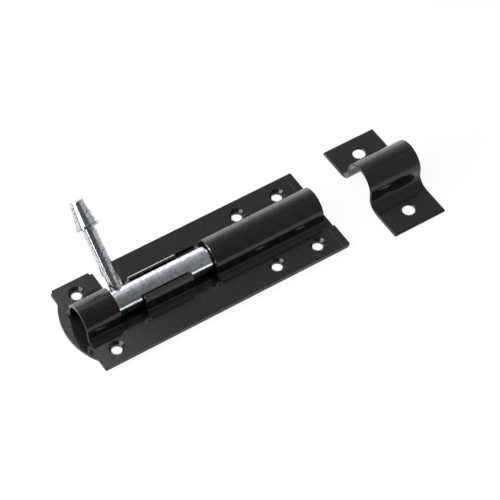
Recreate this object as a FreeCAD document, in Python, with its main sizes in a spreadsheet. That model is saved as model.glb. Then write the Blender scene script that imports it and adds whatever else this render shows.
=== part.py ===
import FreeCAD, Part
import math
import os

import Sketcher

# A surface door bolt of pressed steel and the keeper that its bolt shoots into.
# X runs along the bolt, towards the keeper, with 0 at the casing's handle end. Y is across,
# with the bolt's axis over y = 0. Z is up, and the fixing faces lie on z = 0.
# Millimetres and degrees throughout.

doc = FreeCAD.newDocument("door_bolt")
sizes = doc.addObject("Spreadsheet::Sheet", "sizes")

# Driving dimensions: name, value.
DRIVING = [
    ("plate_length", 140),          # back plate, without its rounded tongue
    ("plate_width", 53),
    ("plate_thick", 1.5),
    ("tail_lip", 0.7),              # how far the back plate stands out under the casing's handle end
    ("mouth_setback", 4.1),         # how far the arch ends before plate and flanges do
    ("tongue_chord", 39),           # chord of the rounded tongue at the handle end
    ("tongue_radius", 36.5),
    ("corner_round", 0.8),          # outer corners of both sheets
    ("casing_width", 53.8),
    ("sheet_thick", 1.5),           # casing sheet
    ("arch_radius", 9.5),           # outer radius of the casing's arch
    ("root_radius", 3.5),           # outer radius where arch wall turns into flange
    ("bolt_diameter", 13),
    ("bolt_tail", 14),              # x of the bolt's tail when drawn back
    ("bolt_nose_setback", 2.2),     # how far its nose then lies inside the casing
    ("bolt_nose_round", 2),
    ("bolt_tail_chamfer", 0.8),
    ("bolt_seat_gap", 0.05),        # running gap under the bolt
    ("window_start", 18.8),         # x where the handle's window begins
    ("tail_notch_length", 14.1),    # resting notch of the drawn-back bolt, along x
    ("nose_notch_length", 13.5),    # resting notch of the shot bolt, along x
    ("wall_length", 26.6),          # low wall between the two notches
    ("front_wall_rise", 5),         # top of the front wall over the bolt's axis
    ("rear_wall_rise", 2.3),        # top of the rear wall over the bolt's axis
    ("notch_half_width", 14),       # how far each notch is cut out of the flanges
    ("lay_slot_start", 20.8),       # slot through the rear flange that the handle lies in
    ("lay_slot_length", 11.5),
    ("plate_slot_setback", 2),      # the back plate's slot begins this much further on
    ("plate_slot_depth", 13.5),     # how far that slot runs in from the plate's rear edge
    ("tail_hole_x", 9.7),
    ("tail_hole_spacing", 38.2),
    ("nose_hole_inset", 13.7),      # from the plate's nose end
    ("hole_pitch", 23.9),           # between the two pairs of holes beside the barrel
    ("hole_spacing", 37),
    ("hole_diameter", 5.5),
    ("sink_diameter", 8.3),
    ("sink_angle", 90),
    ("handle_x", 24.2),             # handle's axis when the bolt is drawn back
    ("handle_rise", 40),            # handle's angle over the horizontal as modelled
    ("handle_length", 53),          # from the bolt's axis to the knob's tip
    ("handle_gap", 0.05),           # running gap of the handle's saddle on the bolt
    ("neck_diameter", 5.8),
    ("neck_end", 14.2),             # distance of the shoulder from the bolt's axis
    ("shank_diameter", 6.8),
    ("knob_length", 14),
    ("rim_diameter", 11.8),
    ("rim_length", 1.6),
    ("rim_step", 0.7),              # how far the rim stands out over the knob's cone
    ("knob_tip_diameter", 7.2),
    ("knob_tip_round", 0.8),
    ("keeper_gap", 22.3),           # from the back plate's end to the loose keeper
    ("keeper_offset", -1.85),       # the loose keeper stands a little to the front of the bolt's axis
    ("keeper_width", 30.9),
    ("keeper_length", 64.4),
    ("keeper_thick", 1.5),
    ("keeper_arch_radius", 10.2),
    ("keeper_root_radius", 6),
    ("keeper_arch_height", 20.2),
    ("keeper_hole_spacing", 43.9),
    ("keeper_hole_diameter", 6.5),
]
# Worked out from the driving dimensions: name, formula.
DERIVED = [
    ("flange_top", "=plate_thick + sheet_thick"),
    ("axis_height", "=plate_thick + bolt_seat_gap + bolt_diameter / 2"),
    ("half_width", "=plate_width / 2"),
    ("casing_half_width", "=casing_width / 2"),
    ("plate_end", "=plate_length - tail_lip"),
    ("arch_end", "=plate_end - mouth_setback"),
    ("arch_half_width", "=arch_radius + root_radius"),
    ("bolt_length", "=arch_end - bolt_nose_setback - bolt_tail"),
    ("nose_hole_x", "=plate_end - nose_hole_inset"),
    ("mid_hole_x", "=nose_hole_x - hole_pitch"),
    ("wall_start", "=window_start + tail_notch_length"),
    ("wall_end", "=wall_start + wall_length"),
    ("window_end", "=wall_end + nose_notch_length"),
    ("front_wall_top", "=axis_height + front_wall_rise"),
    ("rear_wall_top", "=axis_height + rear_wall_rise"),
    ("over_arch", "=axis_height + arch_radius + sheet_thick"),
    ("arch_inner", "=arch_radius - sheet_thick"),
    ("lay_slot_end", "=lay_slot_start + lay_slot_length"),
    ("plate_slot_start", "=lay_slot_start + plate_slot_setback"),
    ("keeper_start", "=plate_end + keeper_gap"),
    ("keeper_half", "=keeper_length / 2"),
    ("keeper_inner", "=keeper_arch_radius - keeper_thick"),
    ("keeper_axis", "=keeper_arch_height - keeper_arch_radius"),
    ("keeper_hole_x", "=keeper_width / 2"),
    ("knob_base", "=handle_length - knob_length"),
    ("rim_end", "=knob_base + rim_length"),
    ("saddle_radius", "=bolt_diameter / 2 + handle_gap"),
    ("cone_base_radius", "=rim_diameter / 2 - rim_step"),
]
for row, (name, value) in enumerate(DRIVING + DERIVED, start=1):
    sizes.set("A%d" % row, name)
    sizes.set("B%d" % row, str(value))
    sizes.setAlias("B%d" % row, name)
doc.recompute()

UP = FreeCAD.Vector(0, 0, 1)
QUARTER = math.pi / 2


def size(name):
    return float(sizes.get(name))


def new_body(label):
    body = doc.addObject("PartDesign::Body", label)
    body.Label = label
    return body


def plane(body, role):
    return next(part for part in body.Origin.OriginFeatures if part.Role == role)


def new_sketch(body, role, name, height=None):
    """A sketch on one of the body's own planes, or lifted off it by a named size."""
    sketch = body.newObject("Sketcher::SketchObject", name)
    sketch.AttachmentSupport = (plane(body, role), "")
    sketch.MapMode = "FlatFace"
    if height:
        sketch.setExpression("AttachmentOffset.Base.z", "sizes." + height)
    return sketch


def constrain(sketch, *constraint):
    return sketch.addConstraint(Sketcher.Constraint(*constraint))


def dimension(sketch, label, expression, *constraint):
    """A driving dimension of a sketch, bound to the sheet."""
    index = constrain(sketch, *constraint)
    sketch.renameConstraint(index, label)
    sketch.setExpression("Constraints." + label, expression)


def pad(body, sketch, name, length):
    feature = body.newObject("PartDesign::Pad", name)
    feature.Profile = sketch
    feature.setExpression("Length", length)
    return feature


def check_cut(body, before, name):
    doc.recompute()
    if not body.Shape.Volume < before:
        raise RuntimeError(name + " cuts nothing")


def pocket_through(body, sketch, name):
    """A cut right through, both ways from the sketch. The volume has to drop."""
    doc.recompute()
    before = body.Shape.Volume
    feature = body.newObject("PartDesign::Pocket", name)
    feature.Profile = sketch
    feature.Type = "ThroughAll"
    feature.Midplane = True
    check_cut(body, before, name)


def mirror(body, feature, role, name):
    mirrored = body.newObject("PartDesign::Mirrored", name)
    mirrored.Originals = [feature]
    mirrored.MirrorPlane = (plane(body, role), [""])
    body.Tip = mirrored
    return mirrored


def ring_edge(shape, axis, place):
    """The name of the round edge whose centre lies at a place along an axis, "x" or "z"."""
    return next("Edge%d" % (i + 1) for i, edge in enumerate(shape.Edges)
                if len(edge.Vertexes) == 1 and abs(getattr(edge.CenterOfMass, axis) - place) < 0.01)


def round_corners(body, feature, name, xs, ys):
    """Rounds the upright edges of a sheet that stand at the given x and y places."""
    doc.recompute()
    before = body.Shape.Volume
    corners = []
    for index, edge in enumerate(feature.Shape.Edges, start=1):
        centre = edge.CenterOfMass
        upright = abs(edge.tangentAt(edge.FirstParameter).z) > 0.99
        at_corner = any(abs(centre.x - x) < 0.01 for x in xs) and any(abs(centre.y - y) < 0.01 for y in ys)
        if upright and at_corner:
            corners.append("Edge%d" % index)
    rounded = body.newObject("PartDesign::Fillet", name)
    rounded.Base = (feature, corners)
    rounded.setExpression("Radius", "sizes.corner_round")
    check_cut(body, before, name)


def rectangle(sketch, label, low, high, start):
    """A rectangle whose sides are bound: low and high are (x, y) expressions, start is a first guess."""
    (left, bottom), (right, top) = start
    outline = [(left, bottom), (right, bottom), (right, top), (left, top)]
    corners = [FreeCAD.Vector(x, y, 0) for x, y in outline]
    first = sketch.GeometryCount
    for here, there in zip(corners, corners[1:] + corners[:1]):
        sketch.addGeometry(Part.LineSegment(here, there))
    for side in range(4):
        constrain(sketch, "Coincident", first + side, 2, first + (side + 1) % 4, 1)
        constrain(sketch, "Vertical" if side % 2 else "Horizontal", first + side)
    dimension(sketch, label + "_left", low[0], "DistanceX", -1, 1, first, 1, left)
    dimension(sketch, label + "_bottom", low[1], "DistanceY", -1, 1, first, 1, bottom)
    dimension(sketch, label + "_right", high[0], "DistanceX", -1, 1, first + 2, 1, right)
    dimension(sketch, label + "_top", high[1], "DistanceY", -1, 1, first + 2, 1, top)


def centred_circle(sketch, kind, expression, value):
    """A circle round the sketch's origin, sized by its radius or its diameter."""
    radius = value if kind == "Radius" else value / 2
    ring = sketch.addGeometry(Part.Circle(FreeCAD.Vector(0, 0, 0), UP, radius))
    constrain(sketch, "Coincident", ring, 3, -1, 1)
    dimension(sketch, kind.lower(), expression, kind, ring, value)


def bound_hole(sketch, label, place, start, diameter):
    """One hole: place holds the x and y expressions, start their first guess, diameter its cell."""
    hole = sketch.addGeometry(Part.Circle(FreeCAD.Vector(*start, 0), UP, size(diameter) / 2))
    dimension(sketch, label + "_x", place[0], "DistanceX", -1, 1, hole, 3, start[0])
    dimension(sketch, label + "_y", place[1], "DistanceY", -1, 1, hole, 3, start[1])
    dimension(sketch, label + "_d", "sizes." + diameter, "Diameter", hole, size(diameter))


def half_hoop(body, name, axis, outer, inner, root, flange, half):
    """Half the section of a bent hoop with a flange, in the YZ plane. The arguments name the sheet's
    cells: axis height, outer and inner radius, root radius, height of the flange's top, half width."""
    sketch = new_sketch(body, "YZ_Plane", name)
    z, big, small, bend, top, side = (size(cell) for cell in (axis, outer, inner, root, flange, half))
    low = top - (big - small)
    middle = FreeCAD.Vector(0, z, 0)
    elbow = FreeCAD.Vector(big + bend, top + bend, 0)

    def arc(centre, radius, begin):
        """A quarter of a circle."""
        return sketch.addGeometry(Part.ArcOfCircle(Part.Circle(centre, UP, radius), begin, begin + QUARTER))

    def line(ax, ay, bx, by):
        ends = FreeCAD.Vector(ax, ay, 0), FreeCAD.Vector(bx, by, 0)
        return sketch.addGeometry(Part.LineSegment(*ends))

    crown = arc(middle, big, 0)
    wall = line(big, z, big, top + bend)
    fillet = arc(elbow, bend, 2 * QUARTER)
    shelf = line(big + bend, top, side, top)
    edge = line(side, top, side, low)
    under = line(side, low, big + bend, low)
    bend_in = arc(elbow, bend + big - small, 2 * QUARTER)
    wall_in = line(small, top + bend, small, z)
    crown_in = arc(middle, small, 0)
    seam = line(0, z + small, 0, z + big)

    def join(a, end_a, b, end_b):
        constrain(sketch, "Coincident", a, end_a, b, end_b)

    join(seam, 2, crown, 2)
    join(crown, 1, wall, 1)
    join(wall, 2, fillet, 1)
    join(fillet, 2, shelf, 1)
    join(shelf, 2, edge, 1)
    join(edge, 2, under, 1)
    join(under, 2, bend_in, 2)
    join(bend_in, 1, wall_in, 1)
    join(wall_in, 2, crown_in, 1)
    join(crown_in, 2, seam, 1)
    join(crown, 3, crown_in, 3)
    join(fillet, 3, bend_in, 3)
    for upright in (wall, edge, wall_in):
        constrain(sketch, "Vertical", upright)
    for flat in (shelf, under):
        constrain(sketch, "Horizontal", flat)
    for point in ((seam, 1), (seam, 2), (crown, 3)):
        constrain(sketch, "PointOnObject", *point, -2)
    for about, curve in ((crown, crown), (crown, crown_in), (fillet, fillet), (fillet, bend_in)):
        constrain(sketch, "Horizontal", about, 3, curve, 1)
    for curve in (fillet, bend_in):
        constrain(sketch, "Vertical", fillet, 3, curve, 2)
    dimension(sketch, "axis_height", "sizes." + axis, "DistanceY", -1, 1, crown, 3, z)
    dimension(sketch, "outer_radius", "sizes." + outer, "Radius", crown, big)
    dimension(sketch, "inner_radius", "sizes." + inner, "Radius", crown_in, small)
    dimension(sketch, "root_radius", "sizes." + root, "Radius", fillet, bend)
    dimension(sketch, "flange_top", "sizes." + flange, "DistanceY", -1, 1, shelf, 2, top)
    dimension(sketch, "half_width", "sizes." + half, "DistanceX", -1, 1, shelf, 2, side)
    return sketch


def fixing_points(sketch):
    """Six circles at the screw holes that casing and back plate share."""
    rows = [("tail", "tail_hole_x", "tail_hole_spacing"), ("mid", "mid_hole_x", "hole_spacing"),
            ("nose", "nose_hole_x", "hole_spacing")]
    for name, along, spacing in rows:
        for side, sign in (("front", -1), ("rear", 1)):
            place = "sizes." + along, "%d * sizes.%s / 2" % (sign, spacing)
            start = size(along), sign * size(spacing) / 2
            bound_hole(sketch, name + "_" + side, place, start, "hole_diameter")


def make_back_plate():
    """Flat plate with a rounded tongue at the handle end and a slot for the handle in its rear edge."""
    body = new_body("back_plate")
    outline = new_sketch(body, "XY_Plane", "plate_outline")
    half, chord = size("half_width"), size("tongue_chord") / 2
    back, end = -size("tail_lip"), size("plate_end")
    corners = [(back, -chord), (back, -half), (end, -half), (end, half), (back, half), (back, chord)]
    points = [FreeCAD.Vector(x, y, 0) for x, y in corners]
    for here, there in zip(points, points[1:]):
        outline.addGeometry(Part.LineSegment(here, there))
    bulge = size("tongue_radius") - (size("tongue_radius") ** 2 - chord ** 2) ** 0.5
    tongue = outline.addGeometry(Part.Arc(points[-1], FreeCAD.Vector(back - bulge, 0, 0), points[0]))
    for side in range(4):
        constrain(outline, "Coincident", side, 2, side + 1, 1)
    constrain(outline, "Coincident", 4, 2, tongue, 1)
    constrain(outline, "Coincident", tongue, 2, 0, 1)
    for upright in (0, 2, 4):
        constrain(outline, "Vertical", upright)
    for flat in (1, 3):
        constrain(outline, "Horizontal", flat)
    constrain(outline, "PointOnObject", tongue, 3, -1)
    dimension(outline, "back_front", "-sizes.tail_lip", "DistanceX", -1, 1, 0, 1, back)
    dimension(outline, "back_rear", "-sizes.tail_lip", "DistanceX", -1, 1, 4, 1, back)
    dimension(outline, "end", "sizes.plate_end", "DistanceX", -1, 1, 1, 2, end)
    dimension(outline, "front", "-sizes.half_width", "DistanceY", -1, 1, 1, 2, -half)
    dimension(outline, "rear", "sizes.half_width", "DistanceY", -1, 1, 3, 1, half)
    dimension(outline, "chord", "sizes.tongue_chord / 2", "DistanceY", -1, 1, 4, 2, chord)
    dimension(outline, "radius", "sizes.tongue_radius", "Radius", tongue, size("tongue_radius"))
    sheet = pad(body, outline, "plate_pad", "sizes.plate_thick")
    round_corners(body, sheet, "plate_corners", (back, end), (-half, half))

    slot = new_sketch(body, "XY_Plane", "plate_slot")
    rectangle(slot, "slot", ("sizes.plate_slot_start", "sizes.half_width - sizes.plate_slot_depth"),
              ("sizes.lay_slot_end", "sizes.half_width + sizes.plate_thick"),
              ((size("plate_slot_start"), half - size("plate_slot_depth")),
               (size("lay_slot_end"), half + size("plate_thick"))))
    pocket_through(body, slot, "plate_slot_cut")

    holes = new_sketch(body, "XY_Plane", "plate_holes")
    fixing_points(holes)
    pocket_through(body, holes, "plate_hole_cut")
    return body


def make_casing():
    """One pressed sheet: two flanges and an arch over the bolt, open in a window for the handle.
    The flanges run on to the plate's end, and the arch stops short of it in an open mouth."""
    body = new_body("casing")
    section = half_hoop(body, "casing_section", "axis_height", "arch_radius", "arch_inner", "root_radius",
                        "flange_top", "casing_half_width")
    half = pad(body, section, "casing_half", "sizes.plate_end")
    both = mirror(body, half, "XZ_Plane", "casing_both")
    side = size("casing_half_width")
    round_corners(body, both, "casing_corners", (0, size("plate_end")), (-side, side))

    mouth = new_sketch(body, "XY_Plane", "mouth_plan")
    rectangle(mouth, "mouth", ("sizes.arch_end", "-sizes.arch_half_width"),
              ("sizes.plate_end + sizes.sheet_thick", "sizes.arch_half_width"),
              ((size("arch_end"), -size("arch_half_width")),
               (size("plate_end") + size("sheet_thick"), size("arch_half_width"))))
    pocket_through(body, mouth, "mouth_cut")

    lid = new_sketch(body, "XZ_Plane", "window_side")
    start, end = size("window_start"), size("window_end")
    rectangle(lid, "lid", ("sizes.window_start", "sizes.front_wall_top"), ("sizes.window_end", "sizes.over_arch"),
              ((start, size("front_wall_top")), (end, size("over_arch"))))
    pocket_through(body, lid, "window_top")

    before = body.Shape.Volume
    rear = new_sketch(body, "XZ_Plane", "rear_wall_side")
    rectangle(rear, "rear", ("sizes.window_start", "sizes.rear_wall_top"), ("sizes.window_end", "sizes.over_arch"),
              ((start, size("rear_wall_top")), (end, size("over_arch"))))
    lower = body.newObject("PartDesign::Pocket", "rear_wall_top_cut")
    lower.Profile = rear
    lower.Type = "Length"
    lower.setExpression("Length", "sizes.casing_half_width")
    check_cut(body, before, "rear_wall_top_cut")

    plan = new_sketch(body, "XY_Plane", "notch_plan")
    reach = size("notch_half_width")
    rectangle(plan, "tail", ("sizes.window_start", "-sizes.notch_half_width"),
              ("sizes.wall_start", "sizes.notch_half_width"), ((start, -reach), (size("wall_start"), reach)))
    rectangle(plan, "nose", ("sizes.wall_end", "-sizes.notch_half_width"),
              ("sizes.window_end", "sizes.notch_half_width"), ((size("wall_end"), -reach), (end, reach)))
    pocket_through(body, plan, "notch_cut")

    slot = new_sketch(body, "XY_Plane", "lay_slot")
    rectangle(slot, "slot", ("sizes.lay_slot_start", "sizes.notch_half_width - sizes.sheet_thick"),
              ("sizes.lay_slot_end", "sizes.casing_half_width + sizes.sheet_thick"),
              ((size("lay_slot_start"), reach - size("sheet_thick")),
               (size("lay_slot_end"), side + size("sheet_thick"))))
    pocket_through(body, slot, "lay_slot_cut")

    places = new_sketch(body, "XY_Plane", "casing_holes", "flange_top")
    fixing_points(places)
    doc.recompute()
    before = body.Shape.Volume
    holes = body.newObject("PartDesign::Hole", "countersunk_holes")
    holes.Profile = places
    holes.DepthType = "ThroughAll"
    holes.setExpression("Diameter", "sizes.hole_diameter")
    holes.HoleCutType = "Countersink"
    holes.setExpression("HoleCutDiameter", "sizes.sink_diameter")
    holes.setExpression("HoleCutCountersinkAngle", "sizes.sink_angle")
    check_cut(body, before, "countersunk_holes")
    return body


def make_bolt_rod():
    """The round bolt, drawn back in the casing."""
    body = new_body("bolt_rod")
    section = new_sketch(body, "YZ_Plane", "bolt_section")
    centred_circle(section, "Diameter", "sizes.bolt_diameter", size("bolt_diameter"))
    bar = pad(body, section, "bolt_bar", "sizes.bolt_length")
    doc.recompute()
    tail = body.newObject("PartDesign::Chamfer", "bolt_tail_end")
    tail.Base = (bar, [ring_edge(bar.Shape, "x", 0)])
    tail.setExpression("Size", "sizes.bolt_tail_chamfer")
    doc.recompute()
    nose = body.newObject("PartDesign::Fillet", "bolt_nose_end")
    nose.Base = (tail, [ring_edge(tail.Shape, "x", size("bolt_length"))])
    nose.setExpression("Radius", "sizes.bolt_nose_round")
    body.setExpression("Placement.Base.x", "sizes.bolt_tail")
    body.setExpression("Placement.Base.z", "sizes.axis_height")
    return body


def make_handle():
    """Turned pin with a neck, a shank and a tapered knob. Its foot is a saddle on the round bolt."""
    body = new_body("handle")
    profile = new_sketch(body, "XZ_Plane", "handle_profile")
    neck, shank, rim, tip = (size(cell) / 2 for cell in
                             ("neck_diameter", "shank_diameter", "rim_diameter", "knob_tip_diameter"))
    cone = size("cone_base_radius")
    shoulder, knob, collar, end = (size(cell) for cell in ("neck_end", "knob_base", "rim_end", "handle_length"))
    points = [(0, 0), (neck, 0), (neck, shoulder), (shank, shoulder), (shank, knob), (rim, knob),
              (rim, collar), (cone, collar), (tip, end), (0, end)]
    vectors = [FreeCAD.Vector(x, y, 0) for x, y in points]
    for here, there in zip(vectors, vectors[1:] + vectors[:1]):
        profile.addGeometry(Part.LineSegment(here, there))
    count = len(points)
    for side in range(count):
        constrain(profile, "Coincident", side, 2, (side + 1) % count, 1)
    constrain(profile, "Coincident", 0, 1, -1, 1)
    for flat in (0, 2, 4, 6, 8):
        constrain(profile, "Horizontal", flat)
    for upright in (1, 3, 5, 9):
        constrain(profile, "Vertical", upright)
    radii = [("neck", 1, "sizes.neck_diameter / 2"), ("shank", 3, "sizes.shank_diameter / 2"),
             ("rim", 5, "sizes.rim_diameter / 2"), ("cone", 7, "sizes.cone_base_radius"),
             ("tip", 8, "sizes.knob_tip_diameter / 2")]
    for label, corner, expression in radii:
        dimension(profile, label, expression, "DistanceX", -1, 1, corner, 1, points[corner][0])
    heights = [("shoulder", 2, "sizes.neck_end"), ("knob", 4, "sizes.knob_base"),
               ("collar", 6, "sizes.rim_end"), ("end", 8, "sizes.handle_length")]
    for label, corner, expression in heights:
        dimension(profile, label + "_at", expression, "DistanceY", -1, 1, corner, 1, points[corner][1])
    turned = body.newObject("PartDesign::Revolution", "handle_turned")
    turned.Profile = profile
    turned.ReferenceAxis = (profile, ["V_Axis"])
    turned.Angle = 360
    doc.recompute()
    tip_end = body.newObject("PartDesign::Fillet", "knob_tip_end")
    tip_end.Base = (turned, [ring_edge(turned.Shape, "z", size("handle_length"))])
    tip_end.setExpression("Radius", "sizes.knob_tip_round")

    saddle = new_sketch(body, "YZ_Plane", "saddle_circle")
    centred_circle(saddle, "Radius", "sizes.saddle_radius", size("saddle_radius"))
    pocket_through(body, saddle, "saddle_cut")

    # The pin is turned upright, so its lean towards the rear is what the rise leaves of a right angle.
    lean = FreeCAD.Rotation(FreeCAD.Vector(-1, 0, 0), 90 - size("handle_rise"))
    body.Placement = FreeCAD.Placement(FreeCAD.Vector(0, 0, 0), lean)
    body.setExpression("Placement.Base.x", "sizes.handle_x")
    body.setExpression("Placement.Base.z", "sizes.axis_height")
    body.setExpression("Placement.Rotation.Angle", "90 - sizes.handle_rise")
    return body


def make_keeper():
    """One bent strap that the bolt shoots into, fixed by two screws."""
    body = new_body("keeper")
    section = half_hoop(body, "keeper_section", "keeper_axis", "keeper_arch_radius", "keeper_inner",
                        "keeper_root_radius", "keeper_thick", "keeper_half")
    half = pad(body, section, "keeper_strap_half", "sizes.keeper_width")
    mirror(body, half, "XZ_Plane", "keeper_strap")
    plan = new_sketch(body, "XY_Plane", "keeper_holes")
    for side, sign in (("front", -1), ("rear", 1)):
        place = "sizes.keeper_hole_x", "%d * sizes.keeper_hole_spacing / 2" % sign
        start = size("keeper_hole_x"), sign * size("keeper_hole_spacing") / 2
        bound_hole(plan, side, place, start, "keeper_hole_diameter")
    pocket_through(body, plan, "keeper_hole_cut")
    body.setExpression("Placement.Base.x", "sizes.keeper_start")
    body.setExpression("Placement.Base.y", "sizes.keeper_offset")
    return body


bodies = [make_back_plate(), make_casing(), make_bolt_rod(), make_handle(), make_keeper()]
doc.recompute()

for part in doc.Objects:
    if "Invalid" in part.State or "Error" in part.State:
        raise RuntimeError("%s failed: %s" % (part.Name, part.State))
os.makedirs("parts", exist_ok=True)
for body in bodies:
    shape = body.Shape
    if shape.isNull() or not shape.isValid() or len(shape.Solids) != 1:
        raise RuntimeError("%s is not one valid solid" % body.Label)
    shape.exportStep("parts/%s.step" % body.Label)
    box = shape.BoundBox
    print("%-11s volume %9.2f  x %7.2f %7.2f  y %7.2f %7.2f  z %6.2f %6.2f" % (
        body.Label, shape.Volume, box.XMin, box.XMax, box.YMin, box.YMax, box.ZMin, box.ZMax))
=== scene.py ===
import math

import bpy
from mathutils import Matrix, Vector


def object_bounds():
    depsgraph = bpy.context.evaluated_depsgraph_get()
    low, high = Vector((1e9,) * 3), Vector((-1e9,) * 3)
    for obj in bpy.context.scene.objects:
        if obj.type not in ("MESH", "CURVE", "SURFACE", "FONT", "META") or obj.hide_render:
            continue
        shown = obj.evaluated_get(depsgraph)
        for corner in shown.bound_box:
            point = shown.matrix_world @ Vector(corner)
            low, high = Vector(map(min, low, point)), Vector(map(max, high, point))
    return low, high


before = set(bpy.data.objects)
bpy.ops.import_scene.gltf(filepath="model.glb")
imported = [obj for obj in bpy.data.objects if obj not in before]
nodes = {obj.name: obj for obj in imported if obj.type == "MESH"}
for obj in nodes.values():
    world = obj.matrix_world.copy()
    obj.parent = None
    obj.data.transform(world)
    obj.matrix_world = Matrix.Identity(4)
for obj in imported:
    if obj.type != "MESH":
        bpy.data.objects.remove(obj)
cad_box = [list(corner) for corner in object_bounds()]
print("pieces:", sorted(nodes))

# %% [markdown]
# Everything here is in metres. The bolt lies along X with its axis over y = 0, the keeper stands past
# its nose, and the fixing faces of both lie on the floor at z = 0.
# The shapes come ready from the part's own source, so this lesson is about what makes them look real:
# the rounded edges of pressed and coated sheet, three finishes, a camera and plain studio light.

# %% Small helpers
MM = 0.001
collection = bpy.context.scene.collection


def add_object(name, data):
    item = bpy.data.objects.new(name, data)
    collection.objects.link(item)
    return item


low, high = (Vector(corner) for corner in cad_box)
middle = (low + high) / 2
print("whole part in mm:", [round(side / MM, 1) for side in high - low])

# %% [markdown]
# The picture was taken from the front left and well above, through a long lens, as catalogue pictures
# are: the long edges of the plate stay almost parallel. A camera with a long focal length that stands
# far away does the same. Its place and its turn are plain numbers, so it can be moved by hand.

# %% Camera
CAMERA_PLACE = (-0.2761, -0.5659, 0.8653)
CAMERA_TURN = (38.0, -0.46, -32.86)
FOCAL_LENGTH = 159.8
SENSOR_WIDTH = 36.0

camera_data = bpy.data.cameras.new("camera")
camera_data.lens = FOCAL_LENGTH
camera_data.sensor_width = SENSOR_WIDTH
camera_data.dof.use_dof = False
camera = add_object("camera", camera_data)
camera.location = CAMERA_PLACE
camera.rotation_euler = [math.radians(angle) for angle in CAMERA_TURN]
bpy.context.scene.camera = camera
bpy.context.scene.view_settings.view_transform = "Standard"
print("camera is %.2f m from the middle of the part" % (camera.location - middle).length)

# %% [markdown]
# Materials are built from nodes. A painted image could show the same finishes, but nodes stay sharp at
# any distance and need no unwrapping. These helpers make a new material with its Principled shader and
# add a node with its settings, so that each finish below reads as a short recipe.


# %% Helpers for materials
def new_material(name):
    material = bpy.data.materials.new(name)
    material.use_nodes = True
    return material, material.node_tree.nodes["Principled BSDF"]


def node(tree, kind, **settings):
    made = tree.nodes.new(kind)
    for name, value in settings.items():
        setattr(made, name, value)
    return made


def place_on_piece(tree):
    """Where a point lies in the piece's own space, so that a pattern rides along when the piece moves."""
    return node(tree, "ShaderNodeTexCoord").outputs["Object"]


# %% [markdown]
# No real surface is even, so each finish starts from noise. A noise is written below as three numbers:
# the width of its features, its detail, and its roughness, which says how strong the finer features
# are. Most of a noise lies near the middle of its range. Spread stretches a narrow span of it to the
# full range, and the narrower that span is, the harder the contrast.


# %% Helpers for patterns
def noise(tree, place, pattern):
    """A noise around 0.5, from a pattern of three: width in metres, detail and roughness."""
    width, detail, roughness = pattern
    made = node(tree, "ShaderNodeTexNoise")
    made.inputs["Scale"].default_value = 1 / width
    made.inputs["Detail"].default_value = detail
    made.inputs["Roughness"].default_value = roughness
    tree.links.new(place, made.inputs["Vector"])
    return made.outputs["Fac"]


def spread(tree, value, span, result=(0, 1)):
    """Stretches a span of values onto the result, and holds what lies past its ends."""
    made = node(tree, "ShaderNodeMapRange")
    made.inputs["From Min"].default_value, made.inputs["From Max"].default_value = span
    made.inputs["To Min"].default_value, made.inputs["To Max"].default_value = result
    tree.links.new(value, made.inputs["Value"])
    return made.outputs["Result"]


def blend_colours(tree, share, first, second):
    made = node(tree, "ShaderNodeMix", data_type="RGBA")
    made.inputs["A"].default_value = (*first, 1)
    made.inputs["B"].default_value = (*second, 1)
    tree.links.new(share, made.inputs["Factor"])
    return made.outputs["Result"]


def relief(tree, height, depth):
    """Turns a height pattern into bent normals, for a surface that is depth metres rough."""
    bump = node(tree, "ShaderNodeBump")
    bump.inputs["Distance"].default_value = depth
    tree.links.new(height, bump.inputs["Height"])
    return bump.outputs["Normal"]


# %% [markdown]
# Some things belong to one spot only, such as a scratch or a worn edge. A mask says where: it is 1 on
# the spot and 0 elsewhere. These helpers make masks from the place or the direction of a point, and
# two masks multiplied leave what lies in both.


# %% Helpers for masks
def parts_of(tree, vector):
    """The x, y and z of a place or a direction."""
    made = node(tree, "ShaderNodeSeparateXYZ")
    tree.links.new(vector, made.inputs["Vector"])
    return [made.outputs[axis] for axis in "XYZ"]


def band(tree, value, centre, half):
    """1 where a value lies within half of the centre, and 0 elsewhere."""
    made = node(tree, "ShaderNodeMath", operation="COMPARE")
    made.inputs[1].default_value = centre
    made.inputs[2].default_value = half
    tree.links.new(value, made.inputs[0])
    return made.outputs["Value"]


def above(tree, value, limit):
    """1 where a value is over the limit, and 0 elsewhere."""
    made = node(tree, "ShaderNodeMath", operation="GREATER_THAN")
    made.inputs[1].default_value = limit
    tree.links.new(value, made.inputs[0])
    return made.outputs["Value"]


def product(tree, first, second):
    made = node(tree, "ShaderNodeMath", operation="MULTIPLY")
    tree.links.new(first, made.inputs[0])
    tree.links.new(second, made.inputs[1])
    return made.outputs["Value"]


# %% [markdown]
# The plate, the casing and the keeper are pressed steel with a black baked coating. It is a satin black
# under a glossy skin, and it has flowed a little before it set, which leaves the fine unevenness called
# orange peel. The shader has two layers for that: a rough base that gives the satin, and a thin smooth
# coat that mirrors the studio. The base has a fine grain of two blacks, wider patches move its
# roughness so that highlights break up as they do on real paint, and a low relief bends the normals of
# both layers for the peel. A coating draws back from a cut edge as it bakes, so the coat is weaker on
# the upright faces of the sheets. A mask of two bands finds them: the normal lies flat, and the point
# is no higher than the two sheets together.

# %% Black coating
COATING_DARK = (0.0025, 0.0022, 0.0020)
COATING_LIGHT = (0.0165, 0.0153, 0.0138)
GRAIN = (0.8 * MM, 4, 0.7)
GRAIN_SPAN = (0.36, 0.64)
PATCHES = (9 * MM, 3, 0.6)
PATCHES_SPAN = (0.3, 0.7)
SATIN_ROUGHNESS = (0.22, 0.34)
PEEL = (1.1 * MM, 4, 0.65)
PEEL_DEPTH = 0.016 * MM
SHEETS_TOP = 3.05 * MM
LIES_FLAT = 0.4
COAT_ON_CUTS = 0.6
BASE_SPECULAR = 0.12
COAT_IOR = 1.42
FLAT_COAT_ROUGHNESS = 0.14


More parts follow.
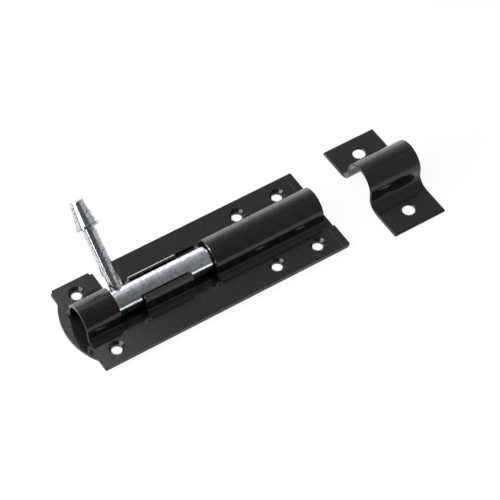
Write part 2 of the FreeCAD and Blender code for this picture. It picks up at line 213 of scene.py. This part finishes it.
def black_coating(name, coat_roughness):
    material, shader = new_material(name)
    tree = material.node_tree
    place = place_on_piece(tree)
    grain = spread(tree, noise(tree, place, GRAIN), GRAIN_SPAN)
    tree.links.new(blend_colours(tree, grain, COATING_DARK, COATING_LIGHT), shader.inputs["Base Color"])
    satin = spread(tree, noise(tree, place, PATCHES), PATCHES_SPAN, SATIN_ROUGHNESS)
    tree.links.new(satin, shader.inputs["Roughness"])
    normal_up = parts_of(tree, node(tree, "ShaderNodeTexCoord").outputs["Normal"])[2]
    height = parts_of(tree, place)[2]
    cut = product(tree, band(tree, normal_up, 0, LIES_FLAT), band(tree, height, 0, SHEETS_TOP))
    tree.links.new(spread(tree, cut, (0, 1), (1, COAT_ON_CUTS)), shader.inputs["Coat Weight"])
    peel = relief(tree, noise(tree, place, PEEL), PEEL_DEPTH)
    tree.links.new(peel, shader.inputs["Normal"])
    tree.links.new(peel, shader.inputs["Coat Normal"])
    shader.inputs["Specular IOR Level"].default_value = BASE_SPECULAR
    shader.inputs["Coat IOR"].default_value = COAT_IOR
    shader.inputs["Coat Roughness"].default_value = coat_roughness
    return material


coating = black_coating("black_coating", FLAT_COAT_ROUGHNESS)
print("black coating:", len(coating.node_tree.nodes), "nodes")

# %% [markdown]
# The casing's coat is a little sharper, and it carries two painted highlights. A faint light line is
# painted across its flanges where the arch ends, standing in for the light that the rounded end edge
# of the sheet catches there. On the low rear wall a thin line of bright bare metal is painted along
# the top, standing in for the highlight that the wall's rounded top catches. Both are masks in the
# colour: the faint line is a narrow band in x, faded by a noise, and the bright line is a band at the
# wall's top, with gaps that a noise leaves, where the shader turns metallic as well.

# %% Painted highlights on the casing
CASING_COAT_ROUGHNESS = 0.1
ARCH_END = 135.2 * MM
EDGE_HIGHLIGHT_HALF = 0.22 * MM
FLANGE_FROM = 13 * MM
# Painted highlight: the light line along the casing's rounded end edge.
EDGE_HIGHLIGHT_COLOUR = (0.05, 0.048, 0.045)
EDGE_HIGHLIGHT_FADING = (2 * MM, 3, 0.6)
FADING_SPAN = (0.35, 0.6)
EDGE_HIGHLIGHT_STRENGTH = (0.2, 1)
# Painted highlight: a bright metal line on the rear wall's rounded top, and where it lies.
WALL_TOP = 10.35 * MM
WALL_HIGHLIGHT_HALF = 0.3 * MM
WALL_HIGHLIGHT_BEYOND = 8.8 * MM
WALL_HIGHLIGHT_FROM, WALL_HIGHLIGHT_TO = 33.0 * MM, 59.4 * MM
WALL_HIGHLIGHT_GAPS = (0.8 * MM, 3, 0.6)
WALL_HIGHLIGHT_OVER = 0.4
WALL_HIGHLIGHT_COLOUR = (0.95, 0.95, 0.94)


def size_of(tree, value):
    made = node(tree, "ShaderNodeMath", operation="ABSOLUTE")
    tree.links.new(value, made.inputs[0])
    return made.outputs["Value"]


def paint_over(tree, shader, mask, colour):
    """Lays a colour over the shader's base colour where the mask is 1."""
    socket = shader.inputs["Base Color"]
    made = node(tree, "ShaderNodeMix", data_type="RGBA")
    made.inputs["B"].default_value = (*colour, 1)
    tree.links.new(mask, made.inputs["Factor"])
    tree.links.new(socket.links[0].from_socket, made.inputs["A"])
    tree.links.new(made.outputs["Result"], socket)


def casing_coating():
    material = black_coating("casing_coating", CASING_COAT_ROUGHNESS)
    tree = material.node_tree
    shader = tree.nodes["Principled BSDF"]
    place = place_on_piece(tree)
    x, y, z = parts_of(tree, place)
    # Paints the end-edge highlight into the base colour.
    edge_highlight = product(tree, band(tree, x, ARCH_END, EDGE_HIGHLIGHT_HALF), above(tree, size_of(tree, y), FLANGE_FROM))
    fading = spread(tree, noise(tree, place, EDGE_HIGHLIGHT_FADING), FADING_SPAN, EDGE_HIGHLIGHT_STRENGTH)
    paint_over(tree, shader, product(tree, edge_highlight, fading), EDGE_HIGHLIGHT_COLOUR)
    # Paints the rear wall's top highlight as bright metal, broken by a noise.
    wall = product(tree, band(tree, z, WALL_TOP, WALL_HIGHLIGHT_HALF), above(tree, y, WALL_HIGHLIGHT_BEYOND))
    length = band(tree, x, (WALL_HIGHLIGHT_FROM + WALL_HIGHLIGHT_TO) / 2, (WALL_HIGHLIGHT_TO - WALL_HIGHLIGHT_FROM) / 2)
    highlight_unbroken = above(tree, noise(tree, place, WALL_HIGHLIGHT_GAPS), WALL_HIGHLIGHT_OVER)
    painted_wall_highlight = product(tree, product(tree, wall, length), highlight_unbroken)
    paint_over(tree, shader, painted_wall_highlight, WALL_HIGHLIGHT_COLOUR)
    tree.links.new(painted_wall_highlight, shader.inputs["Metallic"])
    return material


casing_coating_highlighted = casing_coating()
print("casing's coating:", len(casing_coating_highlighted.node_tree.nodes), "nodes")

# %% [markdown]
# The round bolt is drawn bar with a zinc plating. Zinc grows in small crystals and is passivated, so it
# looks clouded: blue-grey specks about a millimetre wide on a light metal that is itself a little
# darker in wide patches. Two noises do that. The fine one sets the specks in, with a hard contrast, and
# the wide one, multiplied in, holds the light back in its patches. Their product runs the colour and
# the roughness of a metallic shader, so that the specks are duller too.

# %% Zinc plating
ZINC_LIGHT = (0.96, 0.99, 1.0)
ZINC_DARK = (0.20, 0.31, 0.38)
CLOUDS = (4.0 * MM, 4, 0.6)
CLOUDS_SPAN = (0.35, 0.58)
CLOUDS_LIGHT = (0.65, 1)
SPECKS = (1.5 * MM, 7, 0.95)
SPECKS_SPAN = (0.41, 0.49)
ZINC_ROUGHNESS = (0.2, 0.07)
ZINC_WAVES = (0.9 * MM, 4, 0.6)
ZINC_DEPTH = 0.012 * MM


def zinc_plate():
    material, shader = new_material("zinc_plate")
    tree = material.node_tree
    place = place_on_piece(tree)
    clouds = spread(tree, noise(tree, place, CLOUDS), CLOUDS_SPAN, CLOUDS_LIGHT)
    specks = spread(tree, noise(tree, place, SPECKS), SPECKS_SPAN)
    light = product(tree, clouds, specks)
    tree.links.new(blend_colours(tree, light, ZINC_DARK, ZINC_LIGHT), shader.inputs["Base Color"])
    tree.links.new(spread(tree, light, (0, 1), ZINC_ROUGHNESS), shader.inputs["Roughness"])
    tree.links.new(relief(tree, noise(tree, place, ZINC_WAVES), ZINC_DEPTH), shader.inputs["Normal"])
    shader.inputs["Metallic"].default_value = 1
    return material


zinc = zinc_plate()
print("zinc plating:", len(zinc.node_tree.nodes), "nodes")

# %% [markdown]
# The handle is turned and then plated bright. It shows the studio as a white core between darker
# bands, and small dull spots break the mirror, as they do where a thin plating lies on coarse turned
# steel. One noise is enough here: where it is low the metal is dark and rougher, and elsewhere it is
# light and smoother. A shallow relief makes the edges of the core waver.

# %% Bright plating
BRIGHT_LIGHT = (0.84, 0.87, 0.89)
BRIGHT_DULL = (0.24, 0.27, 0.31)
DULL_SPOTS = (1.1 * MM, 6, 0.8)
SPOTS_SPAN = (0.42, 0.54)
BRIGHT_ROUGHNESS = (0.26, 0.12)
BRIGHT_WAVES = (1.2 * MM, 3, 0.6)
BRIGHT_DEPTH = 0.006 * MM


def bright_plate():
    material, shader = new_material("bright_plate")
    tree = material.node_tree
    place = place_on_piece(tree)
    light = spread(tree, noise(tree, place, DULL_SPOTS), SPOTS_SPAN)
    tree.links.new(blend_colours(tree, light, BRIGHT_DULL, BRIGHT_LIGHT), shader.inputs["Base Color"])
    tree.links.new(spread(tree, light, (0, 1), BRIGHT_ROUGHNESS), shader.inputs["Roughness"])
    tree.links.new(relief(tree, noise(tree, place, BRIGHT_WAVES), BRIGHT_DEPTH), shader.inputs["Normal"])
    shader.inputs["Metallic"].default_value = 1
    return material


bright = bright_plate()
print("bright plating:", len(bright.node_tree.nodes), "nodes")

# %% [markdown]
# A sheared or punched edge is never razor sharp, and a coating rounds it further. That thin rounding
# is what catches the light as a bright line along every edge of the real part. The Bevel modifier
# cuts it: wide on the coated sheets, narrow on the turned metal. The imported mesh is split along its
# edges, so a Weld modifier joins it first, and Weighted Normal at the end keeps the flat faces flat
# while the rounding shades smoothly.

# %% Rounded edges and finishes
SHARP_FROM = math.radians(35)
WELD_WITHIN = 0.001 * MM
EDGE_STEPS = 3
PIECES = [
    ("back_plate", coating, 0.6 * MM),
    ("casing", casing_coating_highlighted, 0.62 * MM),
    ("keeper", coating, 0.68 * MM),
    ("bolt_rod", zinc, 0.2 * MM),
    ("handle", bright, 0.3 * MM),
]


def finish_piece(name, material, edge_width):
    piece = nodes[name]
    mesh = piece.data
    mesh.materials.clear()
    mesh.materials.append(material)
    if "custom_normal" in mesh.attributes:
        mesh.attributes.remove(mesh.attributes["custom_normal"])
    mesh.shade_smooth()
    weld = piece.modifiers.new("joined", "WELD")
    weld.merge_threshold = WELD_WITHIN
    bevel = piece.modifiers.new("rounded", "BEVEL")
    bevel.limit_method = "ANGLE"
    bevel.angle_limit = SHARP_FROM
    bevel.width = edge_width
    bevel.segments = EDGE_STEPS
    bevel.use_clamp_overlap = True
    normals = piece.modifiers.new("even", "WEIGHTED_NORMAL")
    normals.keep_sharp = True
    print("%-10s %5d vertices, edges rounded by %.2f mm" % (name, len(mesh.vertices), edge_width / MM))


for name, material, edge_width in PIECES:
    finish_piece(name, material, edge_width)

# %% [markdown]
# The part lies on a white table. One large square is enough for it. It is much larger than the picture,
# so that its edge shows neither behind the part nor in the metal, and it lies a hair under the part, so
# that the two faces don't fight for the same place.

# %% Table top
FLOOR_HALF = 3.0
FLOOR_DROP = 0.02 * MM

floor_mesh = bpy.data.meshes.new("floor")
corners = [(-1, -1), (1, -1), (1, 1), (-1, 1)]
floor_places = [(x * FLOOR_HALF, y * FLOOR_HALF, -FLOOR_DROP) for x, y in corners]
floor_mesh.from_pydata(floor_places, [], [(0, 1, 2, 3)])
floor = add_object("floor", floor_mesh)
print("white table: %.0f m wide" % (2 * FLOOR_HALF))

# %% [markdown]
# A table that is only lit would turn grey in the picture, so the camera sees it mostly as a plain white
# glow, which keeps it white and still lets a faint soft shadow show. Mirror rays see such a glow too,
# so the metal has the white table in its lower sides. All other light meets the plain lit surface, and
# so the table throws no more light on the part than a real one does.

# %% White of the table
FLOOR_COLOUR = 0.92
CAMERA_GLOW = 0.92
MIRROR_GLOW = 0.95

floor_material = bpy.data.materials.new("white_table")
floor_material.use_nodes = True
tree = floor_material.node_tree
tree.nodes.clear()
lit = node(tree, "ShaderNodeBsdfDiffuse")
lit.inputs["Color"].default_value = (FLOOR_COLOUR, FLOOR_COLOUR, FLOOR_COLOUR, 1)
glow = node(tree, "ShaderNodeEmission")
light_path = node(tree, "ShaderNodeLightPath")
camera_share = spread(tree, light_path.outputs["Is Camera Ray"], (0, 1), (0, CAMERA_GLOW))
mirror_share = spread(tree, light_path.outputs["Is Glossy Ray"], (0, 1), (0, MIRROR_GLOW))
glow_share = node(tree, "ShaderNodeMath", operation="MAXIMUM")
tree.links.new(camera_share, glow_share.inputs[0])
tree.links.new(mirror_share, glow_share.inputs[1])
table = node(tree, "ShaderNodeMixShader")
tree.links.new(glow_share.outputs["Value"], table.inputs["Fac"])
tree.links.new(lit.outputs["BSDF"], table.inputs[1])
tree.links.new(glow.outputs["Emission"], table.inputs[2])
tree.links.new(table.outputs["Shader"], node(tree, "ShaderNodeOutputMaterial").inputs["Surface"])
floor_mesh.materials.append(floor_material)
print("the camera sees the table as %.0f percent glow" % (100 * CAMERA_GLOW))

# %% [markdown]
# Black gloss and bright metal have little colour of their own and show what stands around them, so the
# room matters more than the lamps. A photo of a studio could stand in for it, but ramps along two axes
# say it in a few numbers. Each stop is a position, from 0 at the front or the left to 1 at the rear or
# the right, and the brightness there. Two ramps multiplied are bright only where both are.

# %% Levels of the room
NEW_STOP_AT = 0.5

world = bpy.data.worlds.new("studio")
bpy.context.scene.world = world
world.use_nodes = True
tree = world.node_tree
tree.nodes.clear()
direction = node(tree, "ShaderNodeSeparateXYZ")
tree.links.new(node(tree, "ShaderNodeTexCoord").outputs["Generated"], direction.inputs["Vector"])


def levels(axis, stops):
    """Brightness along one axis of the direction. Stops are added in the middle and then moved."""
    ramp = node(tree, "ShaderNodeValToRGB")
    ramp.color_ramp.interpolation = "EASE"
    while len(ramp.color_ramp.elements) < len(stops):
        ramp.color_ramp.elements.new(NEW_STOP_AT)
    for stop, (position, level) in zip(ramp.color_ramp.elements, stops):
        stop.position = position
        stop.color = (level, level, level, 1)
    tree.links.new(spread(tree, direction.outputs[axis], (-1, 1)), ramp.inputs["Fac"])
    print("%s from %.2f to %.2f in %d stops" % (axis, stops[0][1], stops[-1][1], len(stops)))
    return ramp.outputs["Color"]


# %% [markdown]
# The room is bright towards the rear and dark towards the front and the left. On the round casing that
# gives a bright rear shoulder that falls off into black, it makes the white table stand out as a streak
# low on its front, and it draws a dark line along the handle's left side. A soft window at the front
# right keeps the front of the arch from going all black. The camera itself sees plain white instead,
# since a picture of such a part has a white background.

# %% Room
WHITE = (1, 1, 1, 1)
FRONT_TO_REAR = [
    (0.0, 0.08), (0.15, 0.11), (0.3, 0.12), (0.45, 0.18),
    (0.61, 0.30), (0.76, 0.42), (0.88, 0.76), (0.97, 1.8),
]
LEFT_TO_RIGHT = [(0.0, 0.1), (0.15, 0.15), (0.35, 1.0), (0.74, 1.0), (0.84, 1.3)]
FRONT_WINDOW = [(0.0, 0.42), (0.45, 0.3), (0.6, 0.0)]
RIGHT_WINDOW = [(0.63, 0.0), (0.73, 1.0)]

walls = product(tree, levels("Y", FRONT_TO_REAR), levels("X", LEFT_TO_RIGHT))
window = product(tree, levels("Y", FRONT_WINDOW), levels("X", RIGHT_WINDOW))
brightness = node(tree, "ShaderNodeMath", operation="ADD")
tree.links.new(walls, brightness.inputs[0])
tree.links.new(window, brightness.inputs[1])
room = node(tree, "ShaderNodeBackground")
room.inputs["Color"].default_value = WHITE
tree.links.new(brightness.outputs["Value"], room.inputs["Strength"])
backdrop = node(tree, "ShaderNodeBackground")
backdrop.inputs["Color"].default_value = WHITE
choice = node(tree, "ShaderNodeMixShader")
tree.links.new(node(tree, "ShaderNodeLightPath").outputs["Is Camera Ray"], choice.inputs["Fac"])
tree.links.new(room.outputs["Background"], choice.inputs[1])
tree.links.new(backdrop.outputs["Background"], choice.inputs[2])
tree.links.new(choice.outputs["Shader"], node(tree, "ShaderNodeOutputWorld").inputs["Surface"])

# %% [markdown]
# Three large soft panels add what the room can't. The one high on the left gives the handle its white
# core, the low one beside it lights the edges and countersinks that face left as thin bright lines and
# crescents, and the one over the rear gives the handle end of the flanges its sheen. Area lights do
# this best: the metal shows them as plain bright shapes, and the shadows they throw are soft.


# %% Soft panels
def panel(name, place, width, height, radiance):
    """A soft light panel that looks at the middle of the part. Radiance 1 looks as bright as white."""
    data = bpy.data.lights.new(name, "AREA")
    data.shape = "RECTANGLE"
    data.size = width
    data.size_y = height
    data.energy = radiance * math.pi * width * height
    lamp = add_object(name, data)
    lamp.location = place
    lamp.rotation_euler = (middle - lamp.location).to_track_quat("-Z", "Y").to_euler()
    print("%s: %.1f W from %.2f m" % (name, data.energy, (middle - lamp.location).length))


panel("left_panel", place=(-0.69, 0.48, 0.92), width=1.2, height=0.75, radiance=4.2)
panel("low_left_panel", place=(-1.0, 0.03, 0.62), width=1.0, height=0.7, radiance=4.5)
panel("rear_panel", place=(-0.28, 0.62, 1.1), width=1.4, height=0.7, radiance=1.3)

# %% [markdown]
# Last, the size of the part as the frame gave it is printed. Rounding edges takes nothing off the
# overall size.

# %% Sizes and the end
print("CAD box:", cad_box)
